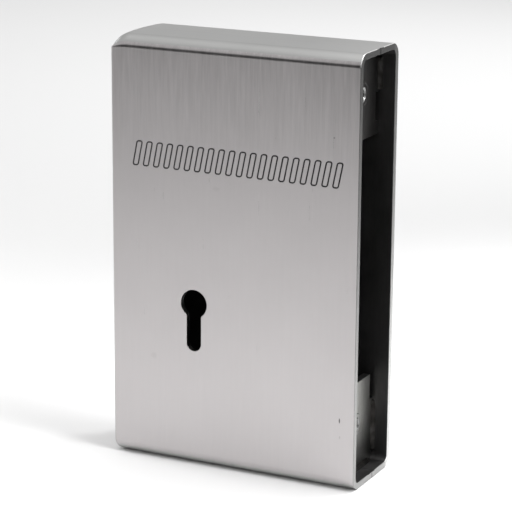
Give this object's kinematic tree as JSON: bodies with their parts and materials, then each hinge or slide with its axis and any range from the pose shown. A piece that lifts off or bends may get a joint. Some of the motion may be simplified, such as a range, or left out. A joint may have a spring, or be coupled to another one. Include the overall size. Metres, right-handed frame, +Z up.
{
  "type": "weld-in gate lock case",
  "caption": "Flat rectangular sheet-steel lock case with keyholes in its faces, open on one side, with two bracket plates inside for a mortice lock.",
  "frame": {"origin": "centre of the bottom face of the case", "axes": "+Z up, +X towards the open mouth that takes the lock, -Y the front face with its keyhole"},
  "size_m": [0.107, 0.036, 0.172],
  "materials": {
    "brushed_shell": "brushed stainless sheet, grain up the faces and along the top",
    "ground_weld": "weld ground flush and brushed with the sheet",
    "bracket_steel": "mill-finish stainless plate, dull",
    "insert_steel": "bright turned stainless",
    "raw_bead": "unground fillet weld with a rippled, slightly heat-tinted face"
  },
  "bodies": {
    "root": {"front_shell": "brushed_shell", "rear_shell": "brushed_shell", "top_seam_weld": "ground_weld", "end_seam_weld": "ground_weld", "bottom_seam_weld": "ground_weld", "front_top_corner_weld": "ground_weld", "front_foot_corner_weld": "ground_weld", "rear_top_corner_weld": "ground_weld", "rear_foot_corner_weld": "ground_weld", "upper_lock_bracket": "bracket_steel", "lower_lock_bracket": "bracket_steel", "upper_threaded_insert": "insert_steel", "lower_threaded_insert": "insert_steel", "upper_front_bead": "raw_bead", "upper_rear_bead": "raw_bead", "upper_cross_bead": "raw_bead", "lower_front_bead": "raw_bead", "lower_rear_bead": "raw_bead", "lower_cross_bead": "raw_bead"}
  },
  "joints": []
}
